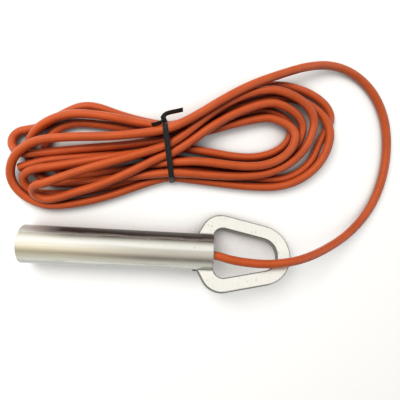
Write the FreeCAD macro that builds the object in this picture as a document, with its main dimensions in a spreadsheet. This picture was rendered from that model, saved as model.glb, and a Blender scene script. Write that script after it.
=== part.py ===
"""Tilt switch probe: a slotted steel pipe with a flat hanging eye, a ball
switch capsule inside it, and a cable that leaves over the eye's tail.

Frame: +X runs along the pipe towards the eye, +Z is up, and the probe lies on
the surface z = 0 on its pipe wall and on one edge of the eye.
"""
import FreeCAD
import Part
import Sketcher
import math
import os
from FreeCAD import Placement, Rotation, Vector

doc = FreeCAD.newDocument("tilt_switch")
sheet = doc.addObject("Spreadsheet::Sheet", "Sizes")

SIZES = [
    # pipe
    ("tube_od", 26.9), ("tube_wall", 2.6), ("tube_length", 134.4),
    ("tube_end_radius", 1.4), ("mouth_chamfer", 0.5),
    ("slot_depth", 14.0), ("slot_clearance", 0.08),
    # plug that closes the far end
    ("plug_length", 10.4), ("plug_recess", 0.6), ("plug_chamfer", 0.8),
    ("press_clearance", 0.03),
    # hanging eye, measured in its own plane from the pipe's mouth
    ("eye_thickness", 6.0), ("eye_reach", 57.0), ("eye_tip_radius", 22.0),
    ("eye_bar", 10.0), ("eye_slant", 12.1), ("eye_shoulder", 6.5),
    ("eye_corner_radius", 15.5), ("eye_neck_angle", 61.0), ("eye_tail", 13.5),
    ("eye_hole_back", 0.5), ("eye_hole_radius", 7.0), ("eye_edge", 0.5),
    ("floor_clearance", 0.02),
    # cable
    ("cord_diameter", 6.2), ("cord_wall_gap", 0.12), ("cord_inside", 34.0),
    ("cord_straight", 3.0), ("core_diameter", 2.0), ("core_pitch", 3.0),
    # sealing compound in the mouth
    ("potting_recess", 1.5), ("potting_length", 30.0), ("fit_clearance", 0.05),
    # crimps and sleeves
    ("crimp_diameter", 2.6), ("crimp_length", 10.0), ("sleeve_wall", 0.45),
    ("sleeve_overlap", 2.0), ("crimp_stagger", 16.0), ("crimp_gap", 6.0),
    ("lead_bend", 2.6), ("lead_clearance", 0.15),
    # switch capsule and its holder
    ("buffer_thickness", 3.0), ("holder_clearance", 0.1),
    ("holder_floor", 8.0), ("holder_length", 34.0), ("groove_width", 3.0),
    ("groove_wall", 0.8), ("pin_hole", 5.0), ("holder_lead_in", 0.6),
    ("can_diameter", 12.0), ("can_wall", 1.0), ("can_length", 24.0),
    ("can_bevel", 1.0), ("header_thickness", 4.0), ("header_recess", 0.5),
    ("pin_diameter", 1.6), ("pin_tail", 3.0), ("pad_diameter", 5.0),
    ("pad_thickness", 0.8), ("ball_diameter", 8.0), ("ball_clearance", 0.3),
    # wound cable and its tie
    ("hank_height", 20.0), ("hank_edge", 4.0), ("tie_width", 4.2),
    ("tie_thickness", 1.1), ("tie_clearance", 0.1), ("waist_width", 45.3),
    ("tie_slant", 10.1), ("tie_tail", 14.0), ("tie_stub", 10.0), ("tie_knot", 3.4),
]
DERIVED = [
    ("tube_radius", "=tube_od / 2"),
    ("bore_radius", "=tube_od / 2 - tube_wall"),
    ("tube_far", "=-tube_length"),
    ("mouth_at", "=(tube_length - eye_reach) / 2"),
    ("mouth_step", "=-mouth_chamfer"),
    ("mouth_radius", "=tube_od / 2 - mouth_chamfer"),
    ("slot_end", "=-slot_depth"),
    ("slot_half", "=eye_thickness / 2 + slot_clearance"),
    ("plug_back", "=plug_recess - tube_length"),
    ("plug_step", "=plug_recess - tube_length + plug_chamfer"),
    ("plug_front", "=plug_recess - tube_length + plug_length"),
    ("plug_radius", "=tube_od / 2 - tube_wall - press_clearance"),
    ("plug_small", "=tube_od / 2 - tube_wall - press_clearance - plug_chamfer"),
    ("holder_back", "=plug_front + buffer_thickness"),
    ("holder_front", "=holder_back + holder_length"),
    ("holder_radius", "=bore_radius - holder_clearance"),
    ("holder_small", "=holder_radius - holder_lead_in"),
    ("holder_step", "=holder_front - holder_lead_in"),
    ("seat_back", "=holder_back + holder_floor"),
    ("seat_radius", "=can_diameter / 2 + fit_clearance"),
    ("pin_hole_radius", "=pin_hole / 2"),
    ("groove_half", "=groove_width / 2"),
    ("groove_floor", "=can_diameter / 2 + fit_clearance + groove_wall"),
    ("groove_lead", "=groove_floor + lead_clearance + core_diameter / 2"),
    ("groove_past", "=holder_radius + groove_width"),
    ("can_back", "=seat_back"),
    ("can_front", "=seat_back + can_length"),
    ("can_inner_front", "=seat_back + can_length - can_wall"),
    ("can_radius_out", "=can_diameter / 2"),
    ("can_radius_in", "=can_diameter / 2 - can_wall"),
    ("header_back", "=can_back + header_recess"),
    ("header_front", "=can_back + header_recess + header_thickness"),
    ("header_radius", "=can_diameter / 2 - can_wall - fit_clearance"),
    ("header_hole", "=pin_diameter / 2 + fit_clearance"),
    ("pin_radius", "=pin_diameter / 2"),
    ("pin_back", "=header_back - pin_tail"),
    ("pad_back", "=header_front"),
    ("pad_front", "=header_front + pad_thickness"),
    ("pad_radius", "=pad_diameter / 2"),
    ("core_height", "=(eye_thickness / 2 + bore_radius) / 2"),
    ("cord_side", "=sqrt((bore_radius - cord_diameter / 2 - cord_wall_gap)^2"
                  " - core_height^2)"),
    ("signal_side", "=-cord_side + core_pitch / 2"),
    ("return_side", "=-cord_side - core_pitch / 2"),
    ("sleeve_bore", "=crimp_diameter / 2 + fit_clearance"),
    ("sleeve_radius", "=crimp_diameter / 2 + fit_clearance + sleeve_wall"),
    ("sleeve_length", "=crimp_length + 2 * sleeve_overlap"),
    ("return_crimp", "=holder_front + crimp_gap + sleeve_overlap"),
    ("signal_crimp", "=return_crimp + crimp_stagger"),
    ("return_run", "=-cord_inside - return_crimp - crimp_length"),
    ("signal_run", "=-cord_inside - signal_crimp - crimp_length"),
]
row = 1
for alias, value in SIZES + DERIVED:
    sheet.set("A%d" % row, alias)
    sheet.set("B%d" % row, str(value))
    sheet.setAlias("B%d" % row, alias)
    row += 1
doc.recompute()


def cell(alias):
    """Value of a cell; a leading minus turns its sign."""
    if alias == "0":
        return 0.0
    sign = -1.0 if alias.startswith("-") else 1.0
    return sign * float(getattr(sheet, alias.lstrip("-")))


def bind(alias):
    """Expression that reads a cell."""
    if alias.startswith("-"):
        return "-Sizes." + alias[1:]
    return "Sizes." + alias


def plane(body, role):
    for feature in body.Origin.OriginFeatures:
        if feature.Role == role:
            return feature


def new_sketch(body, name, role):
    sketch = body.newObject("Sketcher::SketchObject", name)
    sketch.AttachmentSupport = [(plane(body, role), "")]
    sketch.MapMode = "FlatFace"
    return sketch


def hold(sketch, kind, *args):
    """Dimension bound to a cell, whose alias comes last."""
    number = sketch.addConstraint(
        Sketcher.Constraint(kind, *args[:-1], cell(args[-1])))
    sketch.setExpression("Constraints[%d]" % number, bind(args[-1]))


def hold_point(sketch, geo, pos, x, y):
    if x == "0":
        sketch.addConstraint(Sketcher.Constraint("PointOnObject", geo, pos, -2))
    else:
        hold(sketch, "DistanceX", -1, 1, geo, pos, x)
    if y == "0":
        sketch.addConstraint(Sketcher.Constraint("PointOnObject", geo, pos, -1))
    else:
        hold(sketch, "DistanceY", -1, 1, geo, pos, y)


def polygon(body, name, role, points):
    """Closed outline of straight lines, each corner held by cells."""
    sketch = new_sketch(body, name, role)
    corners = [Vector(cell(x), cell(y), 0) for x, y in points]
    count = len(points)
    for i in range(count):
        sketch.addGeometry(Part.LineSegment(corners[i], corners[(i + 1) % count]))
    for i in range(count):
        sketch.addConstraint(
            Sketcher.Constraint("Coincident", i, 2, (i + 1) % count, 1))
    for i in range(count):
        hold_point(sketch, i, 1, points[i][0], points[i][1])
    return sketch


def revolve(body, sketch):
    feature = body.newObject("PartDesign::Revolution", body.Name + "_turned")
    feature.Profile = sketch
    feature.ReferenceAxis = (sketch, ["H_Axis"])
    feature.Angle = 360.0
    doc.recompute()
    return feature


def symmetric(feature):
    if "Midplane" in feature.PropertiesList:
        feature.Midplane = True
    else:
        feature.SideType = "Symmetric"


def through_cut(body, sketch, name):
    feature = body.newObject("PartDesign::Pocket", name)
    feature.Profile = sketch
    feature.Type = "ThroughAll"
    symmetric(feature)
    doc.recompute()
    return feature


def edges_where(shape, test):
    return ["Edge%d" % (i + 1) for i, e in enumerate(shape.Edges) if test(e)]


def new_body(name, where):
    body = doc.addObject("PartDesign::Body", name)
    body.Label = name
    body.Placement = where
    return body


def pipe(points, radius, bend):
    """Round bar along straight runs joined by tangent arcs.

    bend is a radius for every corner, or None for the largest that fits.
    Returns the solid, the path's length and the corner radii.
    """
    edges, radii, start = [], [], points[0]
    for i in range(1, len(points) - 1):
        a = (points[i - 1] - points[i])
        b = (points[i + 1] - points[i])
        turn = math.pi - a.getAngle(b)
        shorter = min(a.Length, b.Length)
        r = bend if bend else 0.45 * shorter / math.tan(turn / 2)
        cut = r * math.tan(turn / 2)
        a.normalize()
        b.normalize()
        first, last = points[i] + a * cut, points[i] + b * cut
        inward = a + b
        inward.normalize()
        middle = points[i] + inward * (r / math.cos(turn / 2) - r)
        edges.append(Part.LineSegment(start, first).toShape())
        edges.append(Part.Arc(first, middle, last).toShape())
        radii.append(r)
        start = last
    edges.append(Part.LineSegment(start, points[-1]).toShape())
    path = Part.Wire(edges)
    along = points[1] - points[0]
    ring = Part.Wire(Part.makeCircle(radius, points[0], along))
    solid = path.makePipeShell([ring], True, False)
    ideal = math.pi * radius ** 2 * path.Length
    if abs(solid.Volume - ideal) > 0.02 * ideal:
        raise ValueError("bar volume %.1f, wanted %.1f" % (solid.Volume, ideal))
    return solid, path.Length, radii


# The probe's own axes: x along the pipe from its mouth, y across the eye in
# its plane, z square to the eye. The probe rolls until the eye's edge is down.
slant = math.radians(cell("eye_slant"))
corner_v = (cell("eye_tip_radius") - cell("eye_corner_radius")
            - math.sin(slant) * (cell("eye_shoulder") - cell("eye_reach")
                                 + cell("eye_tip_radius"))) / math.cos(slant)
eye_half = corner_v + cell("eye_corner_radius")
half_thick = cell("eye_thickness") / 2
roll = (math.asin((cell("tube_radius") - cell("floor_clearance"))
                  / math.hypot(eye_half, half_thick))
        - math.atan2(half_thick, eye_half))
probe = Placement(Vector(cell("mouth_at"), 0, cell("tube_radius")),
                  Rotation(Vector(1, 0, 0), -math.degrees(roll)))
# the return lead lies in one plane through the axis, which turns z onto it
return_turn = math.degrees(math.atan2(-cell("return_side"), cell("core_height")))
return_radius = math.hypot(cell("return_side"), cell("core_height"))
probe_return = probe.multiply(
    Placement(Vector(0, 0, 0), Rotation(Vector(1, 0, 0), return_turn)))
parts = []

# Pipe: turned outline, rounded at the closed end, slotted across at the mouth.
tube = new_body("body_tube", probe)
turned = revolve(tube, polygon(tube, "tube_outline", "XY_Plane", [
    ("tube_far", "bore_radius"), ("0", "bore_radius"), ("0", "mouth_radius"),
    ("mouth_step", "tube_radius"), ("tube_far", "tube_radius")]))
rounded = tube.newObject("PartDesign::Fillet", "tube_rounding")
rounded.Base = (turned, edges_where(
    turned.Shape, lambda e: isinstance(e.Curve, Part.Circle)
    and abs(e.Curve.Radius - cell("tube_radius")) < 1e-6
    and abs(e.Curve.Center.x - cell("tube_far")) < 1e-6))
rounded.setExpression("Radius", bind("tube_end_radius"))
doc.recompute()
slot = polygon(tube, "slot_outline", "XZ_Plane", [
    ("slot_end", "-slot_half"), ("mouth_chamfer", "-slot_half"),
    ("mouth_chamfer", "slot_half"), ("slot_end", "slot_half")])
through_cut(tube, slot, "eye_slots")
parts.append(tube)

# Plug pressed into the far end.
plug = new_body("end_plug", probe)
revolve(plug, polygon(plug, "plug_outline", "XY_Plane", [
    ("plug_back", "0"), ("plug_front", "0"), ("plug_front", "plug_radius"),
    ("plug_step", "plug_radius"), ("plug_back", "plug_small")]))
parts.append(plug)

# Hanging eye: one flat stamping. A tip arc, two slanting sides, two shoulders
# and a necked tail make the outline, and the hole keeps a bar of even width.
eye = new_body("hanger_eye", probe)
tip_x = cell("eye_reach") - cell("eye_tip_radius")
neck = math.radians(cell("eye_neck_angle"))
sin_s, cos_s = math.sin(slant), math.cos(slant)
sin_n, cos_n = math.sin(neck), math.cos(neck)
big, rc = cell("eye_tip_radius"), cell("eye_corner_radius")
side_out = Vector(tip_x + big * sin_s, big * cos_s, 0)
shoulder = Vector(cell("eye_shoulder"), corner_v, 0)
side_in = shoulder + Vector(sin_s, cos_s, 0) * rc
neck_out = shoulder + Vector(-sin_n, cos_n, 0) * rc
tail_v = neck_out.y - (neck_out.x + cell("eye_tail")) * sin_n / cos_n
tail = Vector(-cell("eye_tail"), tail_v, 0)


def flip(v):
    return Vector(v.x, -v.y, 0)


def arc(centre, radius, first, last):
    normal = Vector(0, 0, 1)
    a0 = math.atan2(first.y - centre.y, first.x - centre.x)
    a1 = math.atan2(last.y - centre.y, last.x - centre.x)
    return Part.ArcOfCircle(Part.Circle(centre, normal, radius), a0, a1)


def join(sketch, count, tangent):
    for i in range(count):
        kind = "Tangent" if i in tangent else "Coincident"
        sketch.addConstraint(Sketcher.Constraint(kind, i, 2, (i + 1) % count, 1))


outline = new_sketch(eye, "eye_outline", "XY_Plane")
tip = Vector(tip_x, 0, 0)
outline.addGeometry(arc(tip, big, flip(side_out), side_out))           # 0
outline.addGeometry(Part.LineSegment(side_out, side_in))               # 1
outline.addGeometry(arc(shoulder, rc, side_in, neck_out))              # 2
outline.addGeometry(Part.LineSegment(neck_out, tail))                  # 3
outline.addGeometry(Part.LineSegment(tail, flip(tail)))                # 4
outline.addGeometry(Part.LineSegment(flip(tail), flip(neck_out)))      # 5
outline.addGeometry(arc(flip(shoulder), rc, flip(neck_out), flip(side_in)))
outline.addGeometry(Part.LineSegment(flip(side_in), flip(side_out)))   # 7
join(outline, 8, (0, 1, 2, 5, 6, 7))
outline.addConstraint(Sketcher.Constraint("PointOnObject", 0, 3, -1))
hold(outline, "Radius", 0, "eye_tip_radius")
hold(outline, "Radius", 2, "eye_corner_radius")
outline.addConstraint(Sketcher.Constraint("Equal", 2, 6))
hold(outline, "DistanceX", -1, 1, 2, 3, "eye_shoulder")
outline.addConstraint(Sketcher.Constraint("Symmetric", 2, 3, 6, 3, -1))
outline.addConstraint(Sketcher.Constraint("Symmetric", 3, 2, 5, 1, -1))
hold(outline, "DistanceX", 3, 2, -1, 1, "eye_tail")
blank = eye.newObject("PartDesign::Pad", "eye_blank")
blank.Profile = outline
symmetric(blank)
blank.setExpression("Length", bind("eye_thickness"))
doc.recompute()

hole_r, small = cell("eye_hole_radius"), big - cell("eye_bar")
hole_u = cell("eye_hole_back") + hole_r
hole_v = (small - hole_r - sin_s * (hole_u - tip_x)) / cos_s
hole_tip = Vector(tip_x + small * sin_s, small * cos_s, 0)
hole_c = Vector(hole_u, hole_v, 0)
hole_side = hole_c + Vector(sin_s, cos_s, 0) * hole_r
hole_back = hole_c + Vector(-hole_r, 0, 0)
window = new_sketch(eye, "eye_window", "XY_Plane")
window.addGeometry(arc(tip, small, flip(hole_tip), hole_tip))
window.addGeometry(Part.LineSegment(hole_tip, hole_side))
window.addGeometry(arc(hole_c, hole_r, hole_side, hole_back))
window.addGeometry(Part.LineSegment(hole_back, flip(hole_back)))
window.addGeometry(arc(flip(hole_c), hole_r, flip(hole_back), flip(hole_side)))
window.addGeometry(Part.LineSegment(flip(hole_side), flip(hole_tip)))
join(window, 6, (0, 1, 2, 3, 4, 5))
window.addConstraint(Sketcher.Constraint("PointOnObject", 0, 3, -1))
hold(window, "Radius", 2, "eye_hole_radius")
window.addConstraint(Sketcher.Constraint("Equal", 2, 4))
window.addConstraint(Sketcher.Constraint("Symmetric", 2, 3, 4, 3, -1))
hold(window, "DistanceX", -1, 1, 2, 2, "eye_hole_back")
stamped = through_cut(eye, window, "eye_hole")
softened = eye.newObject("PartDesign::Chamfer", "eye_edges")
softened.Base = (stamped, edges_where(
    stamped.Shape, lambda e: abs(abs(e.CenterOfMass.z) - half_thick) < 1e-6
    and e.BoundBox.XMax > 1e-3 - cell("eye_tail")))
softened.setExpression("Size", bind("eye_edge"))
doc.recompute()
parts.append(eye)

# Switch holder: bored for the capsule, with one groove for the return lead
# that turns in through the floor to the contact pin.
holder = new_body("switch_holder", probe_return)
revolve(holder, polygon(holder, "holder_outline", "XY_Plane", [
    ("holder_back", "pin_hole_radius"), ("seat_back", "pin_hole_radius"),
    ("seat_back", "seat_radius"), ("holder_front", "seat_radius"),
    ("holder_front", "holder_small"), ("holder_step", "holder_radius"),
    ("holder_back", "holder_radius")]))
groove = polygon(holder, "groove_outline", "YZ_Plane", [
    ("-groove_half", "groove_floor"), ("groove_half", "groove_floor"),
    ("groove_half", "groove_past"), ("-groove_half", "groove_past")])
through_cut(holder, groove, "lead_groove")
entry = polygon(holder, "entry_outline", "XY_Plane", [
    ("holder_back", "-groove_half"), ("seat_back", "-groove_half"),
    ("seat_back", "groove_half"), ("holder_back", "groove_half")])
entry_cut = holder.newObject("PartDesign::Pocket", "lead_entry")
entry_cut.Profile = entry
entry_cut.Type = "ThroughAll"
entry_cut.Reversed = True
doc.recompute()
parts.append(holder)

# Capsule: drawn can, moulded header, contact pin with its pad.
can = new_body("capsule_can", probe)
turned = revolve(can, polygon(can, "can_outline", "XY_Plane", [
    ("can_back", "can_radius_in"), ("can_inner_front", "can_radius_in"),
    ("can_inner_front", "0"), ("can_front", "0"),
    ("can_front", "can_radius_out"), ("can_back", "can_radius_out")]))
rounded = can.newObject("PartDesign::Chamfer", "can_bevel")
rounded.Base = (turned, edges_where(
    turned.Shape, lambda e: isinstance(e.Curve, Part.Circle)
    and abs(e.Curve.Radius - cell("can_radius_out")) < 1e-6
    and abs(e.Curve.Center.x - cell("can_front")) < 1e-6))
rounded.setExpression("Size", bind("can_bevel"))
parts.append(can)

header = new_body("capsule_header", probe)
revolve(header, polygon(header, "header_outline", "XY_Plane", [
    ("header_back", "header_hole"), ("header_front", "header_hole"),
    ("header_front", "header_radius"), ("header_back", "header_radius")]))
parts.append(header)

pin = new_body("contact_pin", probe)
revolve(pin, polygon(pin, "pin_outline", "XY_Plane", [
    ("pin_back", "0"), ("pad_front", "0"), ("pad_front", "pad_radius"),
    ("pad_back", "pad_radius"), ("pad_back", "pin_radius"),
    ("pin_back", "pin_radius")]))
parts.append(pin)

# Ball: lies low in the can's bore, just clear of the contact pad.
ball = doc.addObject("Part::Sphere", "tilt_ball")
ball.Label = "tilt_ball"
ball.setExpression("Radius", "Sizes.ball_diameter / 2")
ball_r = cell("ball_diameter") / 2
ball_x = cell("pad_front") + cell("ball_clearance") + ball_r
ball_drop = cell("can_radius_in") - ball_r - cell("ball_clearance")
ball.Placement = Placement(
    Vector(cell("mouth_at") + ball_x, 0, cell("tube_radius") - ball_drop),
    Rotation())
parts.append(ball)
ball_travel = cell("can_inner_front") - cell("ball_clearance") - ball_r - ball_x
print("ball travel %.2f mm" % ball_travel)

along_x = Rotation(Vector(0, 1, 0), 90)


def rod(name, radius, length, start, where):
    """Round bar along the pipe, bound to cells."""
    made = doc.addObject("Part::Cylinder", name)
    made.Label = name
    made.setExpression("Radius", radius)
    made.setExpression("Height", length)
    made.Placement = where.multiply(Placement(start, along_x))
    return made


pad = rod("buffer_pad", "Sizes.holder_radius", "Sizes.buffer_thickness",
          Vector(cell("plug_front"), 0, 0), probe)
parts.append(pad)

# Cable inside the pipe, above the eye's tail, with its two cores.
height = cell("core_height")
inner = rod("cable_inner", "Sizes.cord_diameter / 2", "Sizes.cord_inside",
            Vector(-cell("cord_inside"), -cell("cord_side"), height), probe)
parts.append(inner)
core_signal = rod("core_signal", "Sizes.core_diameter / 2", "Sizes.signal_run",
                  Vector(-cell("cord_inside") - cell("signal_run"),
                         cell("signal_side"), height), probe)
parts.append(core_signal)
core_return = rod("core_return", "Sizes.core_diameter / 2", "Sizes.return_run",
                  Vector(-cell("cord_inside") - cell("return_run"), 0,
                         return_radius), probe_return)
parts.append(core_return)
signal_at = Vector(cell("signal_crimp"), cell("signal_side"), height)
return_at = Vector(cell("return_crimp"), 0, return_radius)
for side, at, where in (("signal", signal_at, probe),
                        ("return", return_at, probe_return)):
    parts.append(rod("crimp_" + side, "Sizes.crimp_diameter / 2",
                     "Sizes.crimp_length", at, where))
    back = at - Vector(cell("sleeve_overlap"), 0, 0)
    skin = doc.addObject("Part::Cut", "sleeve_" + side)
    skin.Label = "sleeve_" + side
    skin.Base = rod("sleeve_%s_outer" % side, "Sizes.sleeve_radius",
                    "Sizes.sleeve_length", back, where)
    skin.Tool = rod("sleeve_%s_bore" % side, "Sizes.sleeve_bore",
                    "Sizes.sleeve_length", back, where)
    parts.append(skin)

# Leads from the crimps to the capsule: one to the can's end, one down the
# holder's groove and in to the pin.
bend = cell("lead_bend")
half_core = cell("core_diameter") / 2
mid = (signal_at.x + cell("can_front")) / 2
quarter = (signal_at.x - cell("can_front")) / 5
shape, length, radii = pipe([
    signal_at, Vector(mid + quarter, signal_at.y, signal_at.z),
    Vector(mid - quarter, 0, 0), Vector(cell("can_front"), 0, 0)],
    half_core, bend)
lead_can = doc.addObject("Part::Feature", "lead_can")
lead_can.Label = "lead_can"
lead_can.Shape = shape
lead_can.Placement = probe
parts.append(lead_can)
turn_x = cell("pin_back") - bend - half_core
groove_lead = cell("groove_lead")
shape, length, radii = pipe([
    return_at, return_at - Vector(cell("crimp_gap") / 2 + cell("sleeve_overlap"), 0, 0),
    Vector(cell("holder_front"), 0, groove_lead),
    Vector(turn_x, 0, groove_lead), Vector(turn_x, 0, 0),
    Vector(cell("pin_back"), 0, 0)], half_core, bend)
lead_pin = doc.addObject("Part::Feature", "lead_pin")
lead_pin.Label = "lead_pin"
lead_pin.Shape = shape
lead_pin.Placement = probe_return
parts.append(lead_pin)

# Sealing compound: fills the mouth round the eye's tail, cable and cores.
fit = cell("fit_clearance")
fill = rod("potting_fill", "Sizes.bore_radius - Sizes.fit_clearance",
           "Sizes.potting_length",
           Vector(-cell("potting_recess") - cell("potting_length"), 0, 0), probe)
room_cable = rod("potting_cable_room",
                 "Sizes.cord_diameter / 2 + Sizes.fit_clearance",
                 "Sizes.cord_inside",
                 Vector(-cell("cord_inside") - fit, -cell("cord_side"), height),
                 probe)
room_tail = doc.addObject("Part::Box", "potting_tail_room")
room_tail.setExpression("Length", "Sizes.eye_tail + Sizes.fit_clearance")
room_tail.setExpression("Width", "Sizes.tube_od")
room_tail.setExpression("Height", "Sizes.eye_thickness + 2 * Sizes.fit_clearance")
room_tail.Placement = probe.multiply(Placement(
    Vector(-cell("eye_tail") - fit, -cell("tube_radius"), -half_thick - fit),
    Rotation()))
rooms = doc.addObject("Part::MultiFuse", "potting_rooms")
rooms.Shapes = [room_cable, room_tail]
potting = doc.addObject("Part::Cut", "potting_plug")
potting.Label = "potting_plug"
potting.Base = fill
potting.Tool = rooms
parts.append(potting)

# Free stretch of the cable: out of the mouth, over the eye's bar, down to the
# surface, round in a wide bend and up onto the wound length.
exit_point = probe.multVec(Vector(0, -cell("cord_side"), height))
LEAD_ROUTE = [
    (49.7, -2.6, 21.7), (61.7, -4.0, 22.9), (78.2, -4.3, 24.6),
    (98.7, -0.9, 24.4), (120.2, 6.3, 16.6), (142.7, 19.0, 8.2),
    (159.8, 38.5, 3.7), (167.6, 61.0, 3.2), (169.4, 84.5, 3.2),
    (165.8, 107.0, 3.2), (155.5, 126.2, 3.2), (139.8, 139.0, 3.6),
    (120.8, 143.8, 6.0), (100.2, 139.6, 10.6), (79.7, 131.2, 13.6),
    (62.2, 122.6, 15.2)]
route = [exit_point, exit_point + Vector(cell("cord_straight"), 0, 0)]
route += [Vector(*p) for p in LEAD_ROUTE]
shape, length, radii = pipe(route, cell("cord_diameter") / 2, None)
print("lead %.1f mm, radii %s" % (length, ", ".join("%.0f" % r for r in radii)))
lead = doc.addObject("Part::Feature", "cable_lead")
lead.Label = "cable_lead"
lead.Shape = shape
parts.append(lead)

# Wound length: the outer shape of the flattened turns, pinched where the tie
# holds it, with the open eye of the right-hand loops.
HANK_OUTLINE = [
    (3.2, 50.0), (38.2, 47.0), (73.2, 46.5), (103.7, 56.0), (122.2, 79.0),
    (123.2, 101.0), (110.2, 121.0), (87.2, 128.0), (55.7, 120.5),
    (32.7, 107.0), (2.2, 95.0), (-31.8, 99.5), (-56.8, 103.5), (-88.8, 88.5),
    (-108.8, 70.0), (-111.8, 47.0), (-101.8, 31.5), (-78.8, 26.0),
    (-38.8, 34.5)]
HANK_OPENING = [
    (89.2, 92.0), (68.2, 97.0), (43.2, 86.5), (19.2, 75.5), (36.2, 73.0),
    (55.2, 72.5), (77.2, 79.0)]


def ring(points):
    curve = Part.BSplineCurve()
    curve.interpolate([Vector(x, y, 0) for x, y in points], PeriodicFlag=True)
    return Part.Wire(curve.toShape())


# The tie slants across the waist. Its section runs down from the upper edge, in
# shares of the waist's width and of the wound length's height.
TIE_FROM = Vector(-1.4, 94.0, 0)
TIE_SECTION = [
    (0.0, 0.09), (0.04, 0.0), (0.96, 0.0), (1.0, 0.09), (1.0, 0.32),
    (0.9, 0.69), (0.8, 0.75), (0.25, 1.0), (0.13, 1.0), (0.0, 0.45)]
slope = math.radians(cell("tie_slant"))
tie_down = Vector(math.sin(slope), -math.cos(slope), 0)
tie_across = Vector(math.cos(slope), math.sin(slope), 0)


def tie_slab(section, inset, width):
    """A section of the waist, drawn in by inset, with a width across the tie."""
    corners = [TIE_FROM + tie_down * (cell("waist_width") * down)
               + Vector(0, 0, cell("hank_height") * height)
               - tie_across * (width / 2) for down, height in section]
    wire = Part.makePolygon(corners + corners[:1])
    if inset:
        wire = wire.makeOffset2D(-inset, 2)
    return Part.Face(wire).extrude(tie_across * width)


up = Vector(0, 0, cell("hank_height"))
hank_solid = Part.Face(ring(HANK_OUTLINE)).extrude(up)
hank_solid = hank_solid.makeChamfer(cell("hank_edge"), [
    e for e in hank_solid.Edges if e.BoundBox.ZLength < 1e-6])
hank_solid = hank_solid.cut(Part.Face(ring(HANK_OPENING)).extrude(up))
tie_width, tie_gap = cell("tie_width"), cell("tie_clearance")
seat = tie_slab([(-1, 0), (2, 0), (2, 1), (-1, 1)], 0, tie_width + 2 * tie_gap)
core = tie_slab(TIE_SECTION, cell("tie_thickness") + tie_gap, 3 * tie_width)
hank_solid = hank_solid.cut(seat.cut(core))
hank = doc.addObject("Part::Feature", "cable_hank")
hank.Label = "cable_hank"
hank.Shape = hank_solid
parts.append(hank)

# Tie: a flat band round the waist, twisted at the top edge, with two ends.
tie_solid = tie_slab(TIE_SECTION, 0, tie_width).cut(
    tie_slab(TIE_SECTION, cell("tie_thickness"), tie_width))
knot_at = (TIE_FROM + tie_down * (0.13 * cell("waist_width")) + up
           + Vector(0, 0, cell("tie_thickness") + tie_gap))
knot = Part.makeSphere(cell("tie_knot") / 2, knot_at)
tail_end = Part.makeCylinder(cell("tie_thickness"), cell("tie_tail"), knot_at,
                             Vector(0.75, 0.65, 0.0))
stub_end = Part.makeCylinder(cell("tie_thickness"), cell("tie_stub"), knot_at,
                             Vector(-0.98, 0.15, 0.02))
tie_solid = tie_solid.multiFuse([knot, tail_end, stub_end]).removeSplitter()
tie = doc.addObject("Part::Feature", "twist_tie")
tie.Label = "twist_tie"
tie.Shape = tie_solid
parts.append(tie)

doc.recompute()
for thing in doc.Objects:
    if "Invalid" in thing.State or "Error" in thing.State:
        raise RuntimeError("%s failed: %s" % (thing.Name, thing.State))
for made in parts:
    shape = made.Shape
    if shape.isNull() or not shape.isValid() or len(shape.Solids) != 1:
        raise RuntimeError("%s: bad shape, %d solids"
                           % (made.Label, len(shape.Solids)))
os.makedirs("parts", exist_ok=True)
for made in parts:
    made.Shape.exportStep("parts/%s.step" % made.Label)
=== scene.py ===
"""Looks of the tilt switch: its cable and tie, the finish of every piece, and the stage."""
import math

import bmesh
import bpy
import numpy as np
from bpy.props import FloatProperty, FloatVectorProperty, PointerProperty
from mathutils import Matrix, Vector


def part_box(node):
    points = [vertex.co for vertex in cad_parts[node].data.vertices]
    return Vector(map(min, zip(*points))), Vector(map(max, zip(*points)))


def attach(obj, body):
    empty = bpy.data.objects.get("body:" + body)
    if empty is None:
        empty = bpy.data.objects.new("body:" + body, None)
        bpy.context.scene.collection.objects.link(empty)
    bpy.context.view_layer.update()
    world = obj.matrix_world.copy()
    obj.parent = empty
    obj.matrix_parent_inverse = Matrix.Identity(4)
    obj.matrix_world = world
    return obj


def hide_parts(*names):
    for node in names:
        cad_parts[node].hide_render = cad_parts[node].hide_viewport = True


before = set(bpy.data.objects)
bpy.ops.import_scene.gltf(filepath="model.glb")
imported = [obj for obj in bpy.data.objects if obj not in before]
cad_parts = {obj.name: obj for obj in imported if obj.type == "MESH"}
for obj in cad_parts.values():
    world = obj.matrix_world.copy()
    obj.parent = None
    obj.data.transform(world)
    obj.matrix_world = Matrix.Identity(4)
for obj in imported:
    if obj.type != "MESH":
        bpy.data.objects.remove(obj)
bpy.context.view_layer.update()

bl_info = {
    "name": "Tilt Switch Looks",
    "version": (1, 0, 0),
    "blender": (4, 5, 0),
    "location": "View3D > Sidebar > Tilt Switch",
    "description": "Lays the cable of a tilt switch, ties it and finishes every piece",
    "category": "Object",
}

MM = 0.001
PROBE = "probe"
INNER_LOW, INNER_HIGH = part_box("cable_inner")
CABLE_EXIT = Vector((INNER_HIGH.x, (INNER_LOW.y + INNER_HIGH.y) / 2, (INNER_LOW.z + INNER_HIGH.z) / 2))
CABLE_ACROSS = INNER_HIGH.y - INNER_LOW.y

# The pipe lies along X on the floor. Places round it are in radians from its top towards the far
# side, places along it in metres: where the painted dark reflection band and the painted shade of the
# low side rise and fall, where the band starts, and where the mouth's wear does.
PIPE_RADIUS = 0.01345
DARK_BAND_RISE, DARK_BAND_FALL = (0.75, 0.98), (2.0, 1.6)
LOW_SHADE_RISE, LOW_SHADE_FALL = (-0.60, -0.85), (-2.8, -2.0)
DARK_BAND_START = (-0.090, -0.066)
MOUTH_WEAR = (-0.045, 0.030)

# The eye is a flat plate that leans on one edge: this is the way its flat side faces.
EYE_LEAN = math.radians(22.14)
EYE_FACING = (0.0, math.sin(EYE_LEAN), math.cos(EYE_LEAN))

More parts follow.
